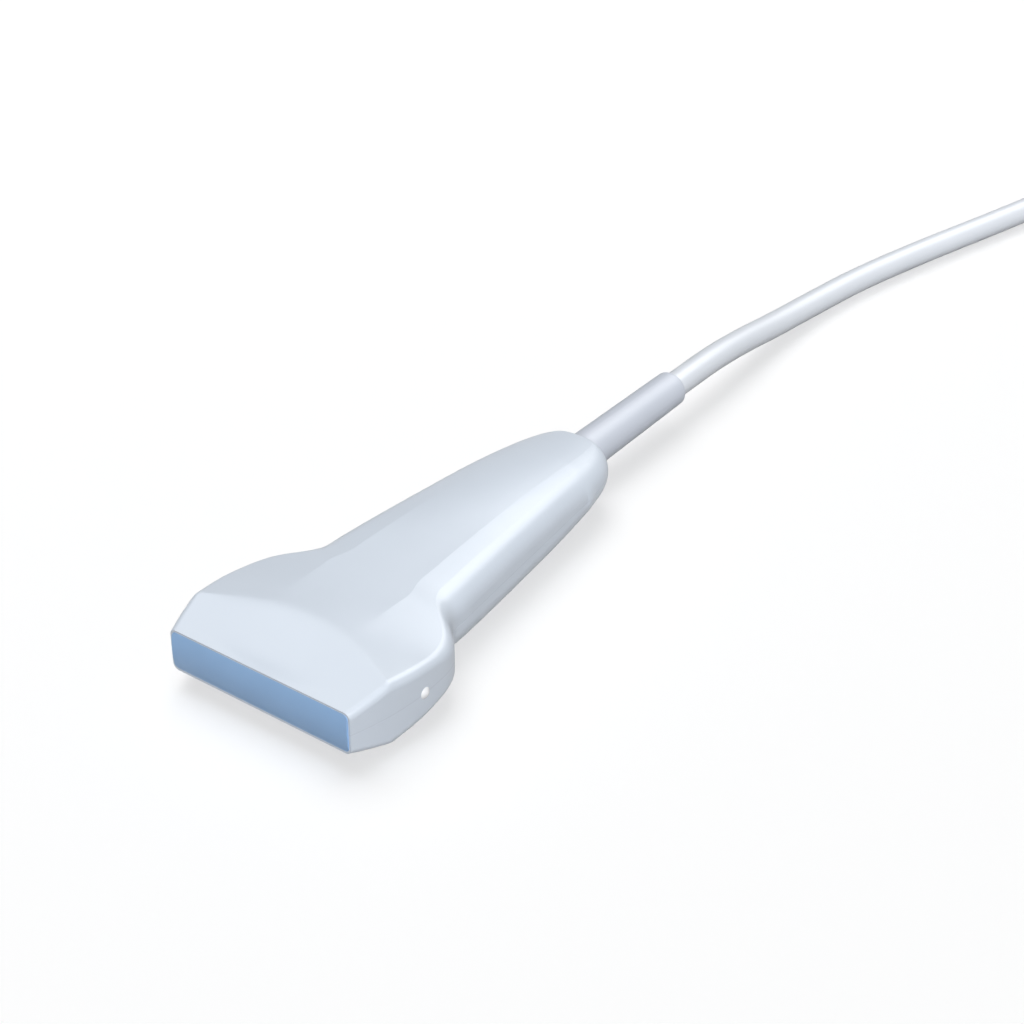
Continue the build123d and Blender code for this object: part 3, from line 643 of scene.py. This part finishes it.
class PROBE_OT_strap(bpy.types.Operator):
    """Wrap a woven strap round the put-away cable"""

    bl_idname = "probe.strap"
    bl_label = "Strap"

    def execute(self, context):
        low, high = (Vector(corner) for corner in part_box("hank_tie"))
        deselect()
        bpy.ops.mesh.primitive_cube_add(size=1.0, location=(low + high) / 2)
        strap = context.object
        strap.name = "hank_strap"
        strap.scale = high - low
        settle(strap)
        pick(strap, "FACE", lambda face: abs(face.normal.x) > 0.5)
        bpy.ops.mesh.delete(type="FACE")
        pick(strap, "EDGE", lambda edge: abs(span(strap, edge).x) > 1.0 * MM)
        bpy.ops.mesh.bevel(offset=2.6 * MM, segments=6, affect="EDGES")
        bpy.ops.object.mode_set(mode="OBJECT")
        wall = strap.modifiers.new("wall", "SOLIDIFY")
        wall.thickness = 1.0 * MM
        wall.offset = -1.0
        bpy.ops.object.modifier_apply(modifier="wall")
        round_edges(strap, TAPE_EDGE, 2)
        bpy.ops.object.shade_smooth_by_angle(angle=SMOOTH_ANGLE)
        tape = woven_strap("strap_woven_polyamide", context.scene.probe_colours.strap)
        strap.data.materials.append(tape)
        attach(strap, PROBE)
        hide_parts("hank_tie")
        self.add_flap(context, low, high, tape)
        return {"FINISHED"}

    def add_flap(self, context, low, high, material):
        """Loose end of the strap, pressed down on the turn below it, with a rounded tip."""
        middle = (low.y + high.y) / 2
        inset = 0.4 * MM
        start = Vector((low.x + inset, middle - 6 * MM, high.z - 0.1 * MM))
        end = Vector((high.x - inset, middle + 20 * MM, high.z + 0.9 * MM))
        deselect()
        bpy.ops.mesh.primitive_cube_add(size=1.0, location=(start + end) / 2)
        flap = context.object
        flap.name = "strap_flap"
        flap.scale = end - start
        settle(flap)
        tip = flap.data.attributes.new("bevel_weight_edge", "FLOAT", "EDGE")
        for edge in flap.data.edges:
            upright = abs(span(flap, edge).z) > 0.5 * MM
            loose = flap.data.vertices[edge.vertices[0]].co.y > middle
            tip.data[edge.index].value = 1.0 if upright and loose else 0.0
        round_edges(flap, 5 * MM, 8, "WEIGHT")
        round_edges(flap, TAPE_EDGE, 2)
        bpy.ops.object.shade_smooth_by_angle(angle=SMOOTH_ANGLE)
        flap.data.materials.append(material)
        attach(flap, PROBE)


class PROBE_OT_studio(bpy.types.Operator):
    """Set up the pale floor, soft lights and camera"""

    bl_idname = "probe.studio"
    bl_label = "Studio"

    def execute(self, context):
        settings = context.scene.probe_studio
        self.lay_floor(context, settings)
        self.light(context)
        self.place_camera(context, settings)
        context.scene.view_settings.view_transform = "Standard"
        return {"FINISHED"}

    def lay_floor(self, context, settings):
        """Matt white floor that looks white to the camera and keeps the shadow."""
        deselect()
        bpy.ops.mesh.primitive_plane_add(size=settings.floor_size, location=(0, 0, 0))
        floor = context.object
        floor.name = "studio_floor"
        material, tree, shader, _ = new_material("floor_white_paper")
        paper = add_node(
            tree, "ShaderNodeMix", {"data_type": "RGBA", 6: linear("#505054"), 7: linear("#FEFEFE")},
            {0: seen_ray(tree)},
        )
        tree.links.new(paper.outputs[2], shader.inputs["Base Color"])
        shader.inputs["Roughness"].default_value = 0.9
        shader.inputs["Specular IOR Level"].default_value = 0.0
        floor.data.materials.append(material)

    def light(self, context):
        """Even light from the front, a softbox for the shadow, one for highlights, and a pale sky."""
        lamps = (
            ("front_light", "SUN", (-1.75, -2.15, 2.40), math.radians(31), 3.05, False, True),
            ("overhead_softbox", "AREA", (0.70, 1.10, 2.50), 2.2, 27.0, True, True),
            ("highlight_softbox", "AREA", (2.00, -0.25, 2.25), 2.2, 84.0, False, False),
        )
        for name, kind, place, spread, power, shadow, diffuse in lamps:
            data = bpy.data.lights.new(name, kind)
            setattr(data, "angle" if kind == "SUN" else "size", spread)
            data.energy = power
            data.use_shadow = shadow
            lamp = bpy.data.objects.new(name, data)
            lamp.visible_diffuse = diffuse
            lamp.location = place
            lamp.rotation_euler = (-Vector(place)).to_track_quat("-Z", "Y").to_euler()
            context.scene.collection.objects.link(lamp)
        self.hang_backdrop(context)

    def hang_backdrop(self, context):
        """Dim sky, with a white backdrop near the horizon for the camera and for reflections."""
        world = bpy.data.worlds.new("studio_sky")
        world.use_nodes = True
        tree = world.node_tree
        dim = 0.12
        background = tree.nodes["Background"]
        background.inputs["Color"].default_value = linear("#F8FAFD")
        way = add_node(tree, "ShaderNodeTexCoord").outputs["Generated"]
        height = add_node(tree, "ShaderNodeSeparateXYZ", links={"Vector": way}).outputs["Z"]
        backdrop = add_node(
            tree, "ShaderNodeMapRange", {"From Min": 0.2, "From Max": 0.4, "To Min": 1.0, "To Max": dim},
            {"Value": height},
        )
        strength = add_node(
            tree, "ShaderNodeMix", {2: dim}, {0: seen_ray(tree), 3: backdrop.outputs["Result"]}
        )
        tree.links.new(strength.outputs[0], background.inputs["Strength"])
        context.scene.world = world

    def place_camera(self, context, settings):
        """Camera at the photograph's viewing angle."""
        data = bpy.data.cameras.new("product_camera")
        data.sensor_fit = "HORIZONTAL"
        data.angle = settings.field_of_view
        data.clip_start = 0.01
        camera = bpy.data.objects.new("product_camera", data)
        place = Vector(settings.camera_place)
        aim = Vector(settings.camera_target) - place
        turn = aim.to_track_quat("-Z", "Y").to_matrix().to_4x4()
        roll = Matrix.Rotation(settings.camera_roll, 4, "Z")
        camera.matrix_world = Matrix.Translation(place) @ turn @ roll
        context.scene.collection.objects.link(camera)
        context.scene.camera = camera


class PROBE_PT_panel(bpy.types.Panel):
    """Buttons for the pieces of the probe"""

    bl_idname = "PROBE_PT_panel"
    bl_label = "Ultrasound probe"
    bl_space_type = "VIEW_3D"
    bl_region_type = "UI"
    bl_category = "Probe"

    def draw(self, context):
        for operator in operators:
            self.layout.operator(operator.bl_idname)


groups = (ProbeColours, CableSizes, StudioSettings)
operators = (
    PROBE_OT_handset,
    PROBE_OT_inside,
    PROBE_OT_connector,
    PROBE_OT_strap,
    PROBE_OT_cable,
    PROBE_OT_studio,
)


def register():
    """Register the classes and hang the settings on the scene."""
    for kind in (*groups, *operators, PROBE_PT_panel):
        bpy.utils.register_class(kind)
    bpy.types.Scene.probe_colours = bpy.props.PointerProperty(type=ProbeColours)
    bpy.types.Scene.probe_cable = bpy.props.PointerProperty(type=CableSizes)
    bpy.types.Scene.probe_studio = bpy.props.PointerProperty(type=StudioSettings)


def unregister():
    """Take the settings and the classes away again."""
    del bpy.types.Scene.probe_studio
    del bpy.types.Scene.probe_cable
    del bpy.types.Scene.probe_colours
    for kind in reversed((*groups, *operators, PROBE_PT_panel)):
        bpy.utils.unregister_class(kind)


def main():
    """Build the scene in order."""
    register()
    bpy.ops.probe.handset()
    bpy.ops.probe.inside()
    bpy.ops.probe.connector()
    bpy.ops.probe.strap()
    bpy.ops.probe.cable()
    bpy.ops.probe.studio()


if __name__ == "__main__":
    main()
